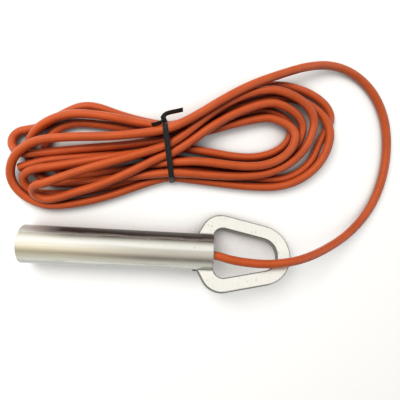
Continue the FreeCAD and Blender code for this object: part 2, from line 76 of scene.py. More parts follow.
# The free stretch: out of the pipe, over the eye's bar, round on the floor and up onto the turns.
STRAIGHT_OUT = 0.003
LEAD_ROUTE = [
    (0.0497, -0.0026, 0.0217), (0.0617, -0.0040, 0.0229), (0.0782, -0.0043, 0.0246),
    (0.0987, -0.0009, 0.0244), (0.1202, 0.0063, 0.0166), (0.1427, 0.0190, 0.0082),
    (0.1598, 0.0385, 0.0037), (0.1676, 0.0610, 0.0032), (0.1694, 0.0845, 0.0032),
    (0.1658, 0.1070, 0.0032), (0.1555, 0.1262, 0.0032), (0.1398, 0.1390, 0.0036),
    (0.1208, 0.1438, 0.0060), (0.1002, 0.1396, 0.0106), (0.0797, 0.1312, 0.0125),
    (0.0582, 0.1212, 0.0140), (0.0399, 0.1098, 0.0145), (0.0221, 0.0974, 0.0145),
]
SETTLING_LEAD = 5      # how many of its last points lie on the turns and settle with them

# The wound length, in millimetres. Each half turn starts in the tie at (y, height, slope), swings
# out to a first shoulder, round a tip and back to a last shoulder, at three heights. Some have a
# second tip, or pass through further points on their way out or back. Such a point lies at its
# shoulder's height, unless it has its own.
TIE_TOP, TIE_FOOT = (-0.8, 90.7), (5.9, 53.2)
HALF_TURNS = [
    {"tie": (86.0, 14.2, 0.32), "out": [(-37.3, 78.5)],
     "loop": ((-70.3, 76.0), (-108.3, 49.0), (-77.8, 26.5)), "heights": (14.0, 6.0, 3.1),
     "back": [(-44.0, 34.2)]},
    {"tie": (53.2, 3.2, 0.0),
     "loop": ((74.2, 49.0), (122.7, 90.5), (82.2, 118.5)), "heights": (3.1, 7.0, 6.0),
     "back": [(50.2, 108.0)]},
    {"tie": (90.7, 3.2, 0.0), "out": [(-31.3, 94.5), (-57.3, 102.5), (-75.8, 93.0), (-87.3, 83.0)],
     "loop": ((-98.6, 80.2), (-109.5, 71.5), (-97.3, 62.4)), "heights": (3.1, 3.1, 5.0),
     "back": [(-85.3, 63.8), (-56.8, 69.0), (-27.8, 73.5)]},
    {"tie": (79.4, 7.0, 0.2),
     "loop": ((70.2, 102.0), (96.2, 88.5), (59.7, 63.5)), "heights": (5.0, 9.0, 12.0),
     "back": [(25.7, 66.0)]},
    {"tie": (63.4, 9.0, 0.15), "out": [(-23.3, 57.5)],
     "loop": ((-59.3, 48.5), (-87.3, 67.0), (-58.8, 89.0)), "heights": (3.1, 3.1, 3.1)},
    {"tie": (84.8, 3.2, 0.0),
     "loop": ((67.2, 108.0), (94.2, 92.0), (57.7, 70.5)), "heights": (3.1, 3.1, 3.1),
     "back": [(30.2, 73.5)]},
    {"tie": (74.2, 3.2, 0.25),
     "loop": ((-80.3, 55.0), (-99.8, 45.5), (-87.0, 34.6)), "heights": (9.0, 6.0, 3.1),
     "back": [(-66.0, 36.0), (-40.0, 43.6), (-20.0, 50.6)]},
    {"tie": (59.8, 3.2, 0.0),
     "loop": ((80.2, 54.5), (116.2, 86.0), (80.2, 126.5)), "heights": (3.1, 3.1, 3.1),
     "far_tip": (124.7, 103.0), "back": [(58.7, 119.5), (35.2, 106.0)]},
    {"tie": (87.9, 8.8, 0.0),
     "loop": ((-55.3, 94.5), (-99.8, 66.0), (-73.3, 42.5)), "heights": (10.0, 3.1, 3.1)},
    {"tie": (56.2, 8.8, 0.05),
     "loop": ((56.2, 56.0), (109.7, 98.0), (70.2, 122.0)), "heights": (8.0, 9.0, 12.0),
     "back": [(39.2, 108.5)]},
    {"tie": (76.3, 10.5, 0.5), "out": [(-54.8, 54.5), (-73.8, 46.5)],
     "loop": ((-81.5, 43.0), (-90.6, 37.2), (-81.5, 31.6)), "heights": (17.5, 11.5, 5.5),
     "back": [(-72.5, 33.6, 6.0), (-63.0, 37.4, 7.0), (-46.3, 43.0, 8.5), (-26.3, 52.5, 10.5)]},
    {"tie": (68.6, 9.5, 0.42), "out": [(39.7, 97.0)],
     "loop": ((72.2, 112.0), (101.7, 94.0), (62.2, 62.5)), "heights": (12.0, 9.0, 5.0)},
]
LAST_TIE = (67.7, 3.2, -0.1)
LAST_RUN = [
    (-26.8, 70.0, 4.0), (-57.8, 64.5, 7.0), (-79.8, 61.0, 8.0), (-92.3, 57.3, 8.8),
    (-104.2, 53.0, 8.0),
]
TIE_STRAIGHT = 6.5     # how far each pass runs straight on either side of the tie
TIE_ROOM = 0.9         # how far the tie under the turns lifts them
LOOP_STEPS = 3         # points from a shoulder to its tip

# The tie's free ends, in millimetres, and the way their flat side faces.
TIE_TAIL = [
    (11.4, 100.9, 15.0), (7.2, 99.5, 15.6), (2.4, 98.0, 16.2), (0.0, 97.0, 16.6),
    (-1.4, 95.7, 16.8), (-2.1, 94.3, 16.8), (-1.5, 92.8, 16.4),
]
TAIL_FACING = Vector((0.1, -0.8, 0.6))
TIE_STUB = [(-1.7, 91.9, 17.4), (-3.1, 90.6, 18.2), (-6.1, 89.3, 18.0), (-9.7, 88.4, 17.4)]
STUB_FACING = Vector((0.3, -0.8, 0.5))
TIE_SPAN = 0.08        # how far from the tie's top a pass may be and still lie in it, in metres
KNOT_PULL = 2.2        # how strongly the knot is drawn from the highest place towards the tie's top
LINE_SAMPLES = 20      # places on each run of the cable where its passes through the tie are sought
RIM_POINTS = 24        # points round each pass that the tie is drawn tight over

# How the turns settle onto the floor and onto each other. Reach and span are in diameters, and
# sinking is in millimetres a round.
SETTLE_ROUNDS = 260
SAMPLES_PER_RUN = 5
SEARCH_EVERY = 6       # rounds from one search for close strands to the next
SEARCH_REACH = 1.32    # strands nearer than this are watched
OWN_SPAN = 3.0         # a strand doesn't push places of the cable this near along its own length
PUSH_GAIN = 1.3
SIDEWAYS_SHARE = 0.6   # how much of a push goes sideways
FOLLOW_GAIN = 1.5      # how far the control points go to move the line
SINK, LAST_SINK = 0.1, 0.02
LAST_ROUNDS = 0.7      # share of the rounds after which the turns sink slowly
SIDEWAYS_KEPT = 0.96   # how much of a sideways shift is kept from round to round
SMOOTHING = 0.3

# The cut end: how far its parts stand out of the jacket and reach into it, in metres, and their sizes.
FILLER_PROUD, CORE_PROUD, COPPER_PROUD = 0.00035, 0.0009, 0.0012
CUT_DEPTH = 0.001
CUT_TAPER = 0.94
FILLER_SHARE = 0.40    # the filler's radius, in cable diameters
COPPER_SHARE = 0.55    # the copper's radius, in core radii
CORE_ASIDE = 1.15      # how far each core lies from the middle, in core radii

# The stage, in metres and degrees.
FLOOR_REACH, FLOOR_LEVEL = 3.0, -0.0001
LAMP_SIZE = 0.4
LAMP_PLACE, LAMP_AIM = Vector((-0.24, 0.34, 0.58)), Vector((0.0, 0.05, 0.0))
CAMERA_PLACE, CAMERA_TURN = (0.0108, 0.0491, 0.2732), (-2.7, -3.5, 3.55)


class CableSettings(bpy.types.PropertyGroup):
    diameter: FloatProperty(
        name="Diameter", description="Outside diameter of the cable's jacket",
        default=CABLE_ACROSS, min=0.002, max=0.02, unit="LENGTH")
    length: FloatProperty(
        name="Length", description="Real length of the cable outside the pipe",
        default=3.3, min=0.5, max=10.0, unit="LENGTH")
    core: FloatProperty(
        name="Core", description="Diameter of each insulated core at the cut end",
        default=0.0019, min=0.0005, max=0.005, unit="LENGTH")
    colour: FloatVectorProperty(
        name="Colour", description="Colour of the jacket", subtype="COLOR", size=4,
        min=0.0, max=1.0, default=(0.72, 0.113, 0.020, 1.0))
    worn_colour: FloatVectorProperty(
        name="Worn colour", description="Colour of the jacket where handling has dulled it",
        subtype="COLOR", size=4, min=0.0, max=1.0, default=(0.62, 0.098, 0.021, 1.0))
    # Painted shade: the jacket's colour in the nooks between the turns, where shade falls.
    painted_nook_shade: FloatVectorProperty(
        name="Nook colour", description="Colour of the jacket where dust and grease gather between the turns",
        subtype="COLOR", size=4, min=0.0, max=1.0, default=(0.19, 0.017, 0.004, 1.0))


class TieSettings(bpy.types.PropertyGroup):
    width: FloatProperty(
        name="Width", description="Width of the tie's flat band",
        default=0.0038, min=0.001, max=0.01, unit="LENGTH")
    thickness: FloatProperty(
        name="Thickness", description="Thickness of the band's wings",
        default=0.0006, min=0.0002, max=0.003, unit="LENGTH")
    wire: FloatProperty(
        name="Wire", description="Diameter of the covered wire along the band",
        default=0.0013, min=0.0004, max=0.004, unit="LENGTH")
    colour: FloatVectorProperty(
        name="Colour", description="Colour of the tie's covering", subtype="COLOR", size=4,
        min=0.0, max=1.0, default=(0.006, 0.009, 0.011, 1.0))


class MetalSettings(bpy.types.PropertyGroup):
    pipe_colour: FloatVectorProperty(
        name="Pipe colour", description="Colour of the plated pipe", subtype="COLOR", size=4,
        min=0.0, max=1.0, default=(0.77, 0.765, 0.75, 1.0))
    pipe_shade: FloatVectorProperty(
        name="Pipe shade", description="Colour of the pipe's duller streaks", subtype="COLOR", size=4,
        min=0.0, max=1.0, default=(0.64, 0.63, 0.60, 1.0))
    # Painted shade: the dark colour painted into the metal's joints and along its sharp edges.
    edge_shade_colour: FloatVectorProperty(
        name="Grime", description="Colour of the dirt along the metal's edges and in its joints",
        subtype="COLOR", size=4, min=0.0, max=1.0, default=(0.09, 0.085, 0.08, 1.0))
    # Painted shade: the colour the pipe's duller low side is darkened to, for the shaded floor it mirrors.
    pipe_painted_low_side: FloatVectorProperty(
        name="Pipe dull side", description="Colour of the duller zinc low on the pipe's side",
        subtype="COLOR", size=4, min=0.0, max=1.0, default=(0.50, 0.52, 0.485, 1.0))
    # Painted reflection: the dark band on the pipe's far flank, for dark surroundings mirrored there.
    pipe_painted_reflection: FloatVectorProperty(
        name="Pipe oxide", description="Colour of the dark band beside the pipe's seam",
        subtype="COLOR", size=4, min=0.0, max=1.0, default=(0.055, 0.042, 0.036, 1.0))
    eye_colour: FloatVectorProperty(
        name="Eye colour", description="Colour of the plated eye", subtype="COLOR", size=4,
        min=0.0, max=1.0, default=(0.86, 0.855, 0.83, 1.0))
    eye_shade: FloatVectorProperty(
        name="Eye shade", description="Colour of the eye's pits and handling marks", subtype="COLOR", size=4,
        min=0.0, max=1.0, default=(0.55, 0.54, 0.50, 1.0))
    # Painted shade: the dark grey of the eye's side walls and sheared edges, where shade falls; they are also
    # rougher.
    eye_wall_shade: FloatVectorProperty(
        name="Eye edge", description="Colour of the eye's rougher sheared edges", subtype="COLOR", size=4,
        min=0.0, max=1.0, default=(0.30, 0.29, 0.27, 1.0))


class StageSettings(bpy.types.PropertyGroup):
    floor_colour: FloatVectorProperty(
        name="Floor colour", description="Colour of the surface the probe lies on", subtype="COLOR", size=4,
        min=0.0, max=1.0, default=(0.74, 0.725, 0.69, 1.0))
    # Painted shade: the floor's colour in the nooks under and between the turns, where shade falls.
    floor_painted_shade: FloatVectorProperty(
        name="Floor shade", description="Colour of the floor in the nooks under and between the turns",
        subtype="COLOR", size=4, min=0.0, max=1.0, default=(0.25, 0.14, 0.09, 1.0))
    bounce_colour: FloatVectorProperty(
        name="Bounce colour", description="Colour of the floor as it lights the undersides",
        subtype="COLOR", size=4, min=0.0, max=1.0, default=(0.15, 0.145, 0.135, 1.0))
    floor_glow: FloatProperty(
        name="Floor glow", description="How much the floor is lifted towards white where it is seen",
        default=0.60, min=0.0, max=1.0, subtype="FACTOR")
    room_light: FloatProperty(
        name="Room light", description="Strength of the ceiling and walls where metal mirrors them",
        default=2.7, min=0.0, max=5.0)
    fill_light: FloatProperty(
        name="Fill light", description="Strength of the ceiling and walls as they light dull surfaces",
        default=0.22, min=0.0, max=5.0)
    lamp_power: FloatProperty(
        name="Lamp power", description="Power of the soft lamp above",
        default=3.9, min=0.0, max=50.0, unit="POWER")
    lens: FloatProperty(
        name="Lens", description="Focal length of the camera",
        default=32.58, min=10.0, max=200.0, unit="CAMERA")


class LookSettings(bpy.types.PropertyGroup):
    cable: PointerProperty(type=CableSettings)
    tie: PointerProperty(type=TieSettings)
    metal: PointerProperty(type=MetalSettings)
    stage: PointerProperty(type=StageSettings)


def add_node(tree, kind, **sockets):
    """A node with its input values set by socket name, spaces written as underscores."""
    node = tree.nodes.new(kind)
    for name, value in sockets.items():
        node.inputs[name.replace("_", " ")].default_value = value
    return node


def feed(tree, socket, value):
    """Links a socket to another, or sets it to a plain value."""
    if isinstance(value, bpy.types.NodeSocket):
        tree.links.new(value, socket)
    else:
        socket.default_value = value


def maths(tree, operation, first, second):
    """A maths node fed by sockets or plain numbers; returns its output."""
    node = tree.nodes.new("ShaderNodeMath")
    node.operation = operation
    for socket, value in zip(node.inputs, (first, second)):
        feed(tree, socket, value)
    return node.outputs[0]


def dot_product(tree, first, second):
    """How far two directions agree; returns the value."""
    node = tree.nodes.new("ShaderNodeVectorMath")
    node.operation = "DOT_PRODUCT"
    for socket, value in zip(node.inputs, (first, second)):
        feed(tree, socket, value)
    return node.outputs["Value"]


def mix_colours(tree, mask, first, second):
    """Mixes two colours by a mask; returns the colour."""
    node = tree.nodes.new("ShaderNodeMix")
    node.data_type = "RGBA"
    tree.links.new(mask, node.inputs["Factor"])
    for name, value in (("A", first), ("B", second)):
        socket = next(s for s in node.inputs if s.name == name and s.type == "RGBA")
        feed(tree, socket, value)
    return next(s for s in node.outputs if s.type == "RGBA")


def spread(tree, value, from_low, from_high, low=0.0, high=1.0):
    """Spreads a value from one range over another, held at its ends."""
    node = add_node(tree, "ShaderNodeMapRange",
                    From_Min=from_low, From_Max=from_high, To_Min=low, To_Max=high)
    tree.links.new(value, node.inputs["Value"])
    return node.outputs["Result"]


def openness(tree, reach, own=False):
    """How open a place is, from 0 in a tight nook to 1; own leaves other pieces out of it."""
    node = add_node(tree, "ShaderNodeAmbientOcclusion", Distance=reach)
    node.samples = 12
    node.only_local = own
    return node.outputs["AO"]


def new_group(name, inputs, outputs):
    """A shader group with its named sockets; returns it with its input and output nodes."""
    group = bpy.data.node_groups.new(name, "ShaderNodeTree")
    for way, sockets in (("INPUT", inputs), ("OUTPUT", outputs)):
        for socket, kind in sockets.items():
            group.interface.new_socket(socket, in_out=way, socket_type="NodeSocket" + kind)
    return group, group.nodes.new("NodeGroupInput"), group.nodes.new("NodeGroupOutput")


def place_group(tree, group, **values):
    """Places a shared effect in a material, fed by sockets or values named as in add_node."""
    node = tree.nodes.new("ShaderNodeGroup")
    node.node_tree = group
    for name, value in values.items():
        feed(tree, node.inputs[name.replace("_", " ")], value)
    return node


def edge_shade_group():
    """Shared effect: painted shade in joints and painted dark lines along sharp edges, over a colour."""
    found = bpy.data.node_groups.get("painted_edge_shade")
    if found:
        return found
    group, start, end = new_group(
        "painted_edge_shade", {"Colour": "Color", "Grime": "Color", "Width": "Float", "Strength": "Float"},
        {"Colour": "Color"})
    eased = group.nodes.new("ShaderNodeBevel")
    eased.samples = 6
    group.links.new(start.outputs["Width"], eased.inputs["Radius"])
    true = group.nodes.new("ShaderNodeNewGeometry")
    turned = dot_product(group, eased.outputs["Normal"], true.outputs["Normal"])
    # Painted dark lines along sharp edges, where the eased normal turns away from the true one.
    rim = maths(group, "MULTIPLY", spread(group, turned, 0.995, 0.95), start.outputs["Strength"])
    # Painted shade in the joints, where other surfaces close in.
    clear = spread(group, openness(group, 0.002), 0.50, 0.90)
    joints = mix_colours(group, clear, start.outputs["Grime"], start.outputs["Colour"])
    group.links.new(mix_colours(group, rim, joints, start.outputs["Grime"]), end.inputs["Colour"])
    return group


def grain_group():
    """Shared effect: noise stretched along an axis, and a sparse mask of fine pits."""
    found = bpy.data.node_groups.get("surface_grain")
    if found:
        return found
    group, start, end = new_group(
        "surface_grain", {"Stretch": "Vector", "Scale": "Float", "Pit Scale": "Float"},
        {"Grain": "Float", "Pits": "Float"})
    place = group.nodes.new("ShaderNodeTexCoord")
    stretched = group.nodes.new("ShaderNodeVectorMath")
    stretched.operation = "MULTIPLY"
    group.links.new(place.outputs["Object"], stretched.inputs[0])
    group.links.new(start.outputs["Stretch"], stretched.inputs[1])
    noise = add_node(group, "ShaderNodeTexNoise", Detail=5.0, Roughness=0.55)
    group.links.new(stretched.outputs[0], noise.inputs["Vector"])
    group.links.new(start.outputs["Scale"], noise.inputs["Scale"])
    pits = add_node(group, "ShaderNodeTexNoise", Detail=2.0, Roughness=0.5)
    group.links.new(place.outputs["Object"], pits.inputs["Vector"])
    group.links.new(start.outputs["Pit Scale"], pits.inputs["Scale"])
    group.links.new(noise.outputs["Fac"], end.inputs["Grain"])
    group.links.new(spread(group, pits.outputs["Fac"], 0.60, 0.72), end.inputs["Pits"])
    return group


def place_grain(tree, stretch, scale, pit_scale):
    """Places the grain in a material with its own values."""
    return place_group(tree, grain_group(), Stretch=stretch, Scale=scale, Pit_Scale=pit_scale)


def new_material(name):
    """A material with only its shader and output; returns it with its tree and shader."""
    material = bpy.data.materials.new(name)
    material.use_nodes = True
    tree = material.node_tree
    tree.nodes.clear()
    shader = tree.nodes.new("ShaderNodeBsdfPrincipled")
    end = tree.nodes.new("ShaderNodeOutputMaterial")
    tree.links.new(shader.outputs["BSDF"], end.inputs["Surface"])
    return material, tree, shader


def bump(tree, shader, height, strength, distance):
    """Feeds a height into the shader's normal."""
    node = add_node(tree, "ShaderNodeBump", Strength=strength, Distance=distance)
    tree.links.new(height, node.inputs["Height"])
    tree.links.new(node.outputs["Normal"], shader.inputs["Normal"])


def moulded(name, colour, shade, roughness, metallic=0.0, stretch=(1.0, 1.0, 1.0), scale=500.0):
    """A plain part's finish: two near colours, uneven roughness, grain and fine pits."""
    material, tree, shader = new_material(name)
    effect = place_grain(tree, stretch, scale, 1400.0)
    tinted = mix_colours(tree, effect.outputs["Grain"], (*colour, 1.0), (*shade, 1.0))
    tree.links.new(tinted, shader.inputs["Base Color"])
    shader.inputs["Metallic"].default_value = metallic
    uneven = spread(tree, effect.outputs["Grain"], 0.3, 0.7, roughness - 0.08, roughness + 0.08)
    tree.links.new(uneven, shader.inputs["Roughness"])
    pitted = maths(tree, "MULTIPLY", effect.outputs["Pits"], 0.4)
    bump(tree, shader, maths(tree, "SUBTRACT", effect.outputs["Grain"], pitted), 0.3, 2e-5)
    return material


def jacket_material(settings):
    """Soft orange jacket: a thin gloss, faint dull patches, painted shade in the nooks between the turns and
    a fine skin.
    """
    material, tree, shader = new_material("cable_jacket")
    patches = place_grain(tree, (1.0, 1.0, 1.0), 60.0, 900.0)
    skin = place_grain(tree, (1.0, 1.0, 1.0), 1500.0, 1100.0)
    dull = spread(tree, patches.outputs["Grain"], 0.40, 0.68)
    lit = mix_colours(tree, dull, settings.colour, settings.worn_colour)
    # Painted shade: the jacket darkens to the nook colour where its own turns close in, and its coat fades
    # there too.
    clear = spread(tree, openness(tree, 1.6 * settings.diameter, own=True), 0.2, 0.85)
    tree.links.new(mix_colours(tree, clear, settings.painted_nook_shade, lit), shader.inputs["Base Color"])
    tree.links.new(spread(tree, patches.outputs["Grain"], 0.35, 0.65, 0.38, 0.52), shader.inputs["Roughness"])
    tree.links.new(maths(tree, "MULTIPLY", clear, 0.5), shader.inputs["Coat Weight"])
    shader.inputs["Specular IOR Level"].default_value = 0.34
    shader.inputs["Coat Roughness"].default_value = 0.26
    shader.inputs["Sheen Weight"].default_value = 0.06
    shader.inputs["Sheen Tint"].default_value = (1.0, 0.74, 0.68, 1.0)
    dents = maths(tree, "MULTIPLY", skin.outputs["Pits"], 0.5)
    bump(tree, shader, maths(tree, "SUBTRACT", skin.outputs["Grain"], dents), 0.22, 4e-5)
    return material


def pipe_material(settings):
    """Bright zinc on welded pipe: streaks, a rubbed mouth, a painted dark reflection band on the far
    flank, and painted shade on its duller low side, in its joints and along its edges.
    """
    material, tree, shader = new_material("zinc_tube")
    streaks = place_grain(tree, (0.04, 1.0, 1.0), 700.0, 900.0)
    clouds = place_grain(tree, (0.35, 1.0, 1.0), 110.0, 420.0)
    place = tree.nodes.new("ShaderNodeTexCoord")
    axes = tree.nodes.new("ShaderNodeSeparateXYZ")
    tree.links.new(place.outputs["Object"], axes.inputs[0])
    near_mouth = spread(tree, axes.outputs["X"], *MOUTH_WEAR)
    rubbed = maths(tree, "MULTIPLY", near_mouth, clouds.outputs["Pits"])
    streaky = spread(tree, streaks.outputs["Grain"], 0.40, 0.75, 0.0, 0.55)
    tone = maths(tree, "MAXIMUM", streaky, maths(tree, "MULTIPLY", rubbed, 0.8))
    zinc = mix_colours(tree, tone, settings.pipe_colour, settings.pipe_shade)
    above_axis = maths(tree, "SUBTRACT", axes.outputs["Z"], PIPE_RADIUS)
    round_it = maths(tree, "ARCTAN2", axes.outputs["Y"], above_axis)
    ragged = maths(tree, "ADD", round_it, spread(tree, clouds.outputs["Grain"], 0.3, 0.7, -0.08, 0.08))
    # Painted shade: the low side is darkened towards the shaded floor it mirrors, and made less metallic.
    dull = spread(tree, ragged, *LOW_SHADE_RISE, 0.0, 0.75)
    dull = maths(tree, "MULTIPLY", dull, spread(tree, ragged, *LOW_SHADE_FALL))
    zinc = mix_colours(tree, dull, zinc, settings.pipe_painted_low_side)
    # Painted reflection: a dark band on the far flank, also rougher and less metallic.
    band = maths(tree, "MULTIPLY", spread(tree, ragged, *DARK_BAND_RISE), spread(tree, ragged, *DARK_BAND_FALL))
    begun = spread(tree, axes.outputs["X"], *DARK_BAND_START)
    reflection = mix_colours(tree, begun, settings.pipe_shade, settings.pipe_painted_reflection)
    zinc = mix_colours(tree, band, zinc, reflection)
    # Painted shade in the pipe's joints and along its edges.
    shaded = place_group(tree, edge_shade_group(), Colour=zinc, Grime=settings.edge_shade_colour, Width=0.0008, Strength=0.7)
    tree.links.new(shaded.outputs["Colour"], shader.inputs["Base Color"])
    # Both painted bands are also less metallic.
    painted_bands = maths(tree, "MAXIMUM", band, dull)
    tree.links.new(spread(tree, painted_bands, 0.0, 1.0, 1.0, 0.4), shader.inputs["Metallic"])
    satin = spread(tree, clouds.outputs["Grain"], 0.3, 0.7, 0.14, 0.23)
    worn = maths(tree, "ADD", maths(tree, "MULTIPLY", rubbed, 0.14), maths(tree, "MULTIPLY", band, 0.22))
    tree.links.new(maths(tree, "ADD", satin, worn), shader.inputs["Roughness"])
    marks = maths(tree, "MULTIPLY", rubbed, 0.6)
    bump(tree, shader, maths(tree, "SUBTRACT", streaks.outputs["Grain"], marks), 0.25, 3e-5)
    return material


def eye_material(settings):
    """Pale zinc on a stamped plate: soft mottling, scattered pits and marks, rougher sheared edges
    with painted shade on them, and painted shade in its joints and along its edges.
    """
    material, tree, shader = new_material("zinc_eye")
    mottle = place_grain(tree, (1.0, 1.0, 1.0), 260.0, 620.0)
    fine = place_grain(tree, (1.0, 1.0, 1.0), 1300.0, 1500.0)
    worn = maths(tree, "MULTIPLY", mottle.outputs["Pits"], spread(tree, mottle.outputs["Grain"], 0.42, 0.60))
    place = tree.nodes.new("ShaderNodeTexCoord")
    square = dot_product(tree, place.outputs["Normal"], EYE_FACING)
    flat = spread(tree, maths(tree, "ABSOLUTE", square, 0.0), 0.78, 0.95)
    zinc = mix_colours(tree, worn, settings.eye_colour, settings.eye_shade)
    # Painted shade: faces turned away from the plate's flat side go dark grey.
    zinc = mix_colours(tree, flat, settings.eye_wall_shade, zinc)
    # Painted shade in the eye's joints and along its edges.
    shaded = place_group(tree, edge_shade_group(), Colour=zinc, Grime=settings.edge_shade_colour, Width=0.0012, Strength=0.9)
    tree.links.new(shaded.outputs["Colour"], shader.inputs["Base Color"])
    shader.inputs["Metallic"].default_value = 0.9
    satin = spread(tree, mottle.outputs["Grain"], 0.3, 0.7, 0.30, 0.42)
    rougher = spread(tree, flat, 0.0, 1.0, 0.2, 0.0)
    tree.links.new(maths(tree, "ADD", satin, rougher), shader.inputs["Roughness"])
    pitted = maths(tree, "MULTIPLY", worn, 1.2)
    bump(tree, shader, maths(tree, "SUBTRACT", fine.outputs["Grain"], pitted), 0.15, 4e-5)
    return material


def tie_material(settings):
    """Black plastic film over wire: glossy, finely ribbed along its length."""
    material, tree, shader = new_material("tie_plastic")
    film = place_grain(tree, (1.0, 0.3, 0.3), 1800.0, 1200.0)
    lighter = [value + 0.010 for value in settings.colour[:3]] + [1.0]
    black = mix_colours(tree, film.outputs["Grain"], settings.colour, lighter)
    tree.links.new(black, shader.inputs["Base Color"])
    tree.links.new(spread(tree, film.outputs["Grain"], 0.3, 0.7, 0.26, 0.42), shader.inputs["Roughness"])
    shader.inputs["Specular IOR Level"].default_value = 0.3
    bump(tree, shader, film.outputs["Grain"], 0.3, 5e-5)
    return material


def spline_weights(count, per_run):
    """Weights that turn the control points of an order 3 end-to-end NURBS into points on its line."""
    runs = count - 2
    knots = np.concatenate([[0.0, 0.0], np.arange(runs + 1), [runs, runs]])
    weights = np.zeros((runs * per_run + 1, count))
    for row, place in enumerate(np.linspace(0.0, runs - 1e-9, runs * per_run + 1)):
        run = int(place)
        before, after = run + 1.0 - place, place - run
        left = before * before / (run + 1.0 - knots[run + 1])
        right = after * after / (knots[run + 4] - run)
        weights[row, run:run + 3] = left, 1.0 - left - right, right
    return weights


def tie_x(y):
    """Where the slanting tie crosses a pass at y."""
    share = (TIE_TOP[1] - y) / (TIE_TOP[1] - TIE_FOOT[1])
    return TIE_TOP[0] + share * (TIE_FOOT[0] - TIE_TOP[0])


def quarter(shoulder, tip):
    """Points of a quarter ellipse in space, from a shoulder round to a tip."""
    for step in range(LOOP_STEPS + 1):
        angle = step / LOOP_STEPS * math.pi / 2
        out, over = math.sin(angle), math.cos(angle)
        yield (shoulder[0] + (tip[0] - shoulder[0]) * out,
               tip[1] + (shoulder[1] - tip[1]) * over,
               tip[2] + (shoulder[2] - tip[2]) * over)


def through_tie(place, heading):
    """Two points that carry a pass through the tie; heading is -1 to the left, 1 to the right."""
    y, z, slope = place
    ends = [side * heading * TIE_STRAIGHT for side in (-1, 1)]
    return [(tie_x(y) + x, y + slope * x, z) for x in ends]


def half_turn_points(turn):
    """Points of one half turn in millimetres, from the tie out and round to its last shoulder."""
    z_first, z_tip, z_last = turn["heights"]
    first, tip, last = [(*place, z) for place, z in zip(turn["loop"], turn["heights"])]
    far_tip = (*turn["far_tip"], z_tip) if "far_tip" in turn else tip
    points = through_tie(turn["tie"], 1 if tip[0] > TIE_TOP[0] else -1)
    points += [(*place, z_first)[:3] for place in turn.get("out", [])]
    points += list(quarter(first, tip))
    points += list(quarter(last, far_tip))[-2 if far_tip == tip else -1::-1]
    points += [(*place, z_last)[:3] for place in turn.get("back", [])]
    return points


def settle(points, first_free, diameter):
    """Lets the turns sink under their weight and push each other apart; tight crossings stay pressed in."""
    weights = spline_weights(len(points), SAMPLES_PER_RUN)
    share = weights.sum(axis=0)[:, None]
    in_tie = np.abs(points[:, 0] - MM * tie_x(points[:, 1] / MM)) < 2 * TIE_STRAIGHT * MM
    lowest = diameter / 2 + np.where(in_tie, TIE_ROOM * MM, 0.0)
    shift = np.zeros_like(points)
    line = weights @ points
    along = np.concatenate([[0.0], np.cumsum(np.linalg.norm(np.diff(line, axis=0), axis=1))])
    apart = np.abs(along[:, None] - along[None, :]) > OWN_SPAN * diameter
    free = (np.arange(len(points)) >= first_free)[:, None].astype(float)
    for step in range(SETTLE_ROUNDS):
        line = weights @ (points + shift)
        if step % SEARCH_EVERY == 0:
            squared = ((line[:, None, :] - line[None, :, :]) ** 2).sum(axis=2)
            one, other = np.nonzero(np.triu(apart & (squared < (diameter * SEARCH_REACH) ** 2)))
        gap = line[one] - line[other]
        distance = np.linalg.norm(gap, axis=1) + 1e-9
        overlap = np.clip(diameter - distance, 0.0, None)
        push = gap * (overlap / distance / 2.0)[:, None]
        move, count = np.zeros_like(line), np.zeros(len(line))
        np.add.at(move, one, push)
        np.add.at(move, other, -push)
        np.add.at(count, one, overlap > 0)
        np.add.at(count, other, overlap > 0)
        move *= (PUSH_GAIN / np.maximum(count, 1.0))[:, None]
        move[:, :2] *= SIDEWAYS_SHARE
        move[:, 2] += np.clip(diameter / 2 - line[:, 2], 0.0, None)
        shift += FOLLOW_GAIN * (weights.T @ move) / share
        shift[:, 2] -= (SINK if step < LAST_ROUNDS * SETTLE_ROUNDS else LAST_SINK) * MM
        shift[:, :2] *= SIDEWAYS_KEPT
        shift[1:-1] += SMOOTHING * ((shift[:-2] + shift[2:]) / 2 - shift[1:-1])
        shift *= free
        shift[:, 2] = np.maximum(shift[:, 2], (lowest - points[:, 2]) * free[:, 0])
    return points + shift


def cable_points(diameter):
    """Control points of the whole cable, from the pipe to its cut end."""
    points = [tuple(CABLE_EXIT), tuple(CABLE_EXIT + Vector((STRAIGHT_OUT, 0.0, 0.0)))]
    points += LEAD_ROUTE
    first_free = len(points) - SETTLING_LEAD
    wound = [p for turn in HALF_TURNS for p in half_turn_points(turn)]
    wound += through_tie(LAST_TIE, -1) + LAST_RUN
    points += [tuple(MM * value for value in p) for p in wound]
    return settle(np.array(points), first_free, diameter)


def new_piece(name, data, *materials):
    """Adds an object at the origin with its materials, riding on the probe."""
    piece = bpy.data.objects.new(name, data)
    bpy.context.scene.collection.objects.link(piece)
    for material in materials:
        data.materials.append(material)
    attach(piece, PROBE)
    return piece


def laid_points():
    """Control points of the laid cable."""
    spline = bpy.data.objects["cable"].data.splines[0]
    return np.array([point.co[:3] for point in spline.points])


class TILT_OT_lay_cable(bpy.types.Operator):
    """Lay the cable from the pipe's mouth to its cut end, wound and settled"""
    bl_idname = "tilt_look.lay_cable"
    bl_label = "Lay cable"

    def execute(self, context):
        settings = context.scene.tilt_look.cable
        points = cable_points(settings.diameter)
        curve = bpy.data.curves.new("cable", "CURVE")
        curve.dimensions = "3D"
        curve.bevel_depth = settings.diameter / 2
        curve.bevel_resolution = 6
        curve.resolution_u = 8
        curve.use_fill_caps = True
        spline = curve.splines.new("NURBS")
        spline.points.add(len(points) - 1)
        for point, place in zip(spline.points, points):
            point.co = (*place, 1.0)
        spline.order_u = 3
        spline.use_endpoint_u = True
        spline.use_smooth = True
        cable = new_piece("cable", curve, jacket_material(settings))
        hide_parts("cable_lead", "cable_hank")
        return {"FINISHED"}


